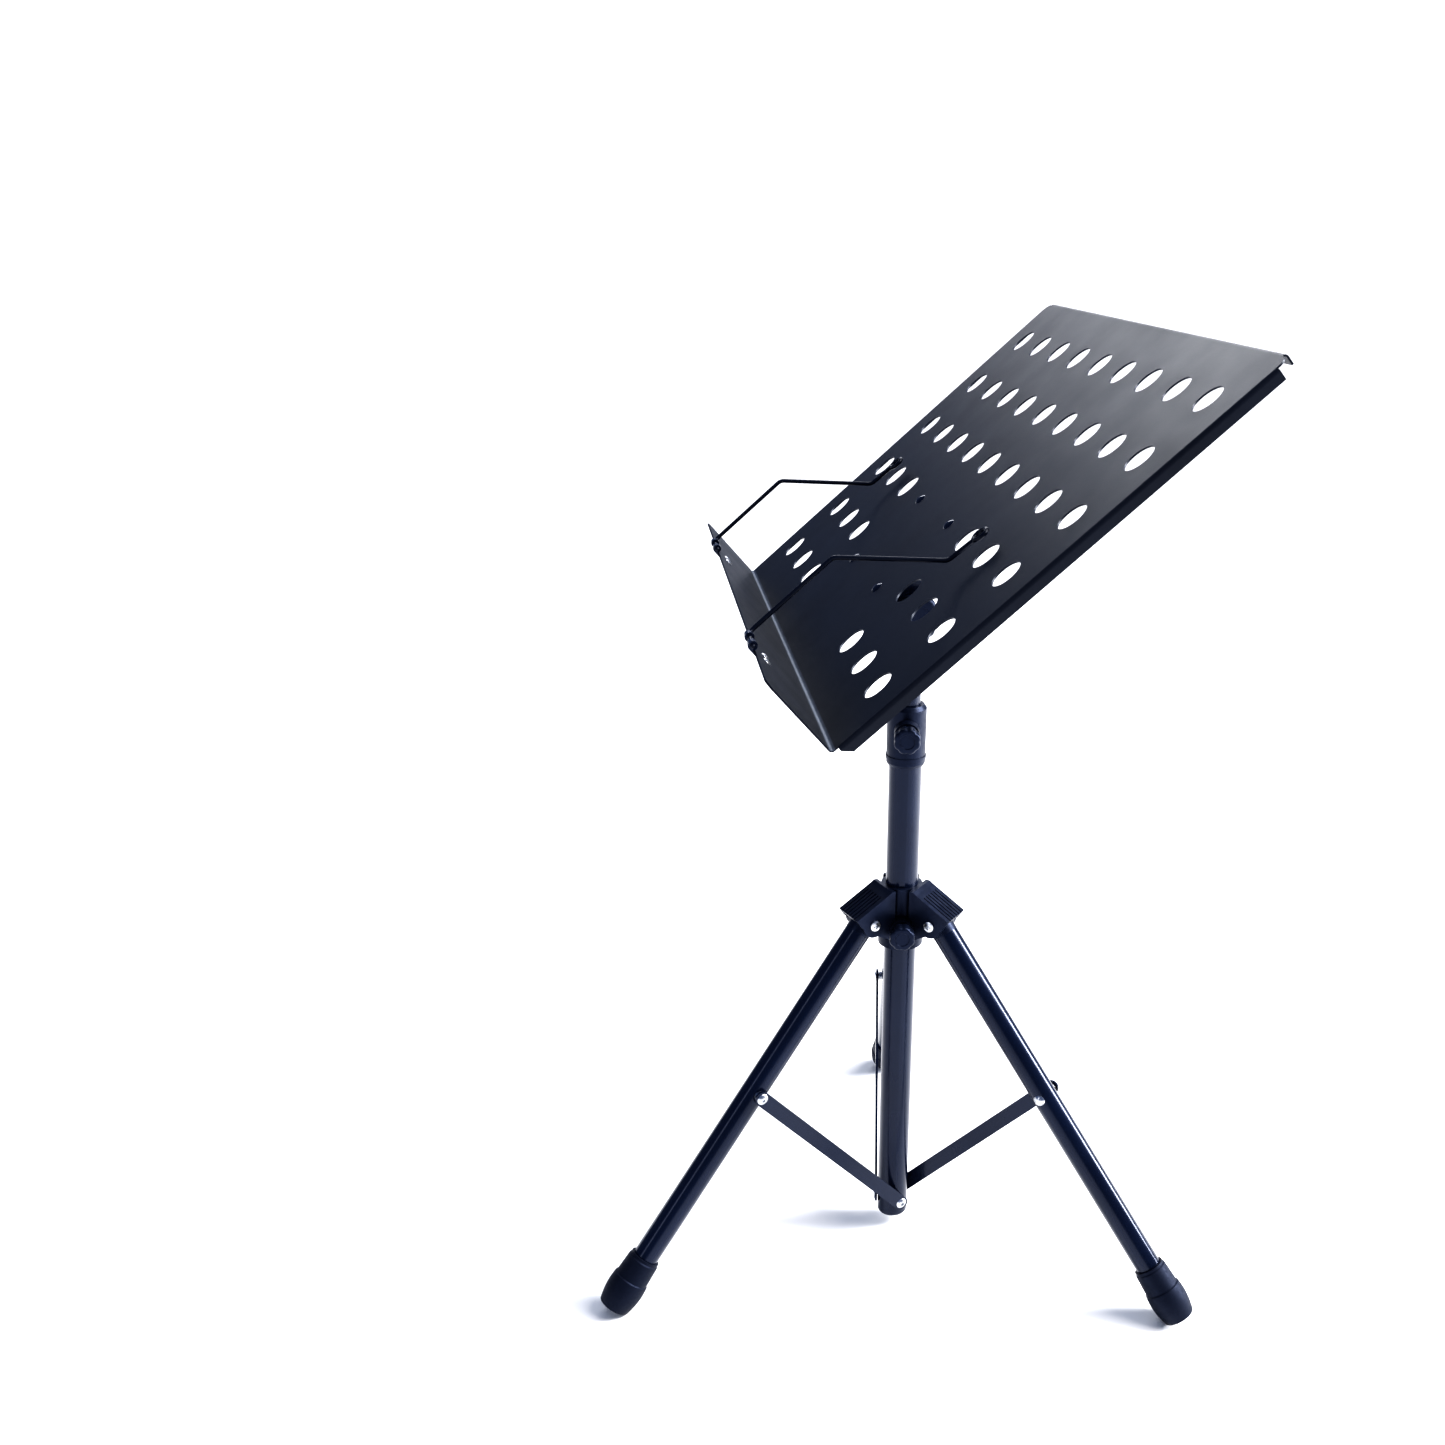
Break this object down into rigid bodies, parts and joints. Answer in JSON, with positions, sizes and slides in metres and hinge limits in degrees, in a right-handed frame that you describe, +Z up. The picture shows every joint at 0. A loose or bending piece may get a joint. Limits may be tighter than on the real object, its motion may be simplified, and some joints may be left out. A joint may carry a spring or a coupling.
{
  "type": "music stand",
  "caption": "Folding music stand: perforated sheet desk with a shelf and wire page holders, telescopic post with clamp knobs and a braced folding tripod.",
  "frame": {"origin": "on the floor under the post's axis", "axes": "+Z up the post; +X to the right of the person reading, who stands on the -Y side; +Y away from the reader"},
  "size_m": [0.5021, 0.4578, 0.7266],
  "materials": {
    "powder_coat": "satin powder coat",
    "desk_coat": "satin powder coat with a fine grain",
    "moulded_black": "moulded, lightly grained",
    "foot_rubber": "soft matt rubber",
    "zinc": "bright zinc plate",
    "brass_insert": "machined",
    "wire_black": "black coated spring wire"
  },
  "bodies": {
    "base": {"outer_tube": "powder_coat", "tube_end_plug": "moulded_black", "collar": "moulded_black", "collar_insert": "brass_insert"},
    "collar_knob": {"collar_knob": "moulded_black", "collar_stud": "zinc"},
    "hub": {"hub": "moulded_black", "hub_insert": "brass_insert", "pivot_barrels": "zinc", "pivot_screws": "zinc"},
    "hub_knob": {"hub_knob": "moulded_black", "hub_stud": "zinc"},
    "leg_1": {"leg_tube_1": "powder_coat", "leg_knuckle_1": "moulded_black", "foot_1": "foot_rubber", "leg_rivet_1": "zinc"},
    "brace_1": {"brace_1": "powder_coat", "brace_rivet_1": "zinc"},
    "leg_2": {"leg_tube_2": "powder_coat", "leg_knuckle_2": "moulded_black", "foot_2": "foot_rubber", "leg_rivet_2": "zinc"},
    "brace_2": {"brace_2": "powder_coat", "brace_rivet_2": "zinc"},
    "leg_3": {"leg_tube_3": "powder_coat", "leg_knuckle_3": "moulded_black", "foot_3": "foot_rubber", "leg_rivet_3": "zinc"},
    "brace_3": {"brace_3": "powder_coat", "brace_rivet_3": "zinc"},
    "glide": {"glide": "moulded_black"},
    "mast": {"inner_tube": "powder_coat", "tilt_head": "moulded_black", "head_screw": "zinc"},
    "desk": {"desk_panel": "desk_coat", "mount_plate": "powder_coat", "tilt_bracket": "powder_coat", "plate_rivets": "powder_coat", "tilt_bolt": "zinc", "tilt_washers": "moulded_black", "lug_left": "powder_coat", "lug_right": "powder_coat", "lug_rivets": "zinc"},
    "tilt_knob": {"tilt_knob": "moulded_black", "tilt_knob_insert": "brass_insert"},
    "holder_left": {"holder_left": "wire_black"},
    "holder_right": {"holder_right": "wire_black"}
  },
  "joints": [
    {"name": "height_slide", "type": "slide", "parent": "base", "child": "glide", "axis": [0, 0, 1], "range_m": [-0.027, 0.25]},
    {"name": "mast_swivel", "type": "hinge", "parent": "glide", "child": "mast", "pos_m": [0, 0, 0.09], "axis": [0, 0, 1], "continuous": true},
    {"name": "desk_tilt", "type": "hinge", "parent": "mast", "child": "desk", "pos_m": [0, 0, 0.534], "axis": [1, 0, 0], "range_deg": [-41, 34]},
    {"name": "hub_slide", "type": "slide", "parent": "base", "child": "hub", "axis": [0, 0, 1], "range_m": [0, 0.0786]},
    {"name": "leg_fold_1", "type": "hinge", "parent": "hub", "child": "leg_1", "pos_m": [0.01147, -0.02987, 0.292], "axis": [0.9336, 0.3584, 0], "range_deg": [0, 33]},
    {"name": "brace_fold_1", "type": "hinge", "parent": "leg_1", "child": "brace_1", "pos_m": [0.04677, -0.12184, 0.16592], "axis": [0.9336, 0.3584, 0], "range_deg": [-61.81, 0]},
    {"name": "leg_fold_2", "type": "hinge", "parent": "hub", "child": "leg_2", "pos_m": [0.02014, 0.02487, 0.292], "axis": [-0.7771, 0.6293, 0], "range_deg": [0, 33]},
    {"name": "brace_fold_2", "type": "hinge", "parent": "leg_2", "child": "brace_2", "pos_m": [0.08213, 0.10142, 0.16592], "axis": [-0.7771, 0.6293, 0], "range_deg": [-61.81, 0]},
    {"name": "leg_fold_3", "type": "hinge", "parent": "hub", "child": "leg_3", "pos_m": [-0.03161, 0.00501, 0.292], "axis": [-0.1564, -0.9877, 0], "range_deg": [0, 33]},
    {"name": "brace_fold_3", "type": "hinge", "parent": "leg_3", "child": "brace_3", "pos_m": [-0.1289, 0.02042, 0.16592], "axis": [-0.1564, -0.9877, 0], "range_deg": [-61.81, 0]},
    {"name": "collar_knob_turn", "type": "hinge", "parent": "base", "child": "collar_knob", "pos_m": [0, 0, 0.444], "axis": [0.9848, -0.1736, 0], "continuous": true},
    {"name": "hub_knob_turn", "type": "hinge", "parent": "hub", "child": "hub_knob", "pos_m": [0, 0, 0.286], "axis": [0.9877, -0.1564, 0], "continuous": true},
    {"name": "tilt_knob_turn", "type": "hinge", "parent": "desk", "child": "tilt_knob", "pos_m": [0, 0, 0.534], "axis": [1, 0, 0], "continuous": true},
    {"name": "holder_swing_left", "type": "hinge", "parent": "desk", "child": "holder_left", "pos_m": [-0.142, -0.13072, 0.55618], "axis": [1, 0, 0], "range_deg": [0, 120]},
    {"name": "holder_swing_right", "type": "hinge", "parent": "desk", "child": "holder_right", "pos_m": [0.142, -0.13072, 0.55618], "axis": [1, 0, 0], "range_deg": [0, 120]}
  ],
  "couplings": [
    {"joint": "leg_fold_1", "follows": "hub_slide", "rad_per_m": 7.327},
    {"joint": "brace_fold_1", "follows": "hub_slide", "rad_per_m": -13.726},
    {"joint": "leg_fold_2", "follows": "hub_slide", "rad_per_m": 7.327},
    {"joint": "brace_fold_2", "follows": "hub_slide", "rad_per_m": -13.726},
    {"joint": "leg_fold_3", "follows": "hub_slide", "rad_per_m": 7.327},
    {"joint": "brace_fold_3", "follows": "hub_slide", "rad_per_m": -13.726}
  ]
}
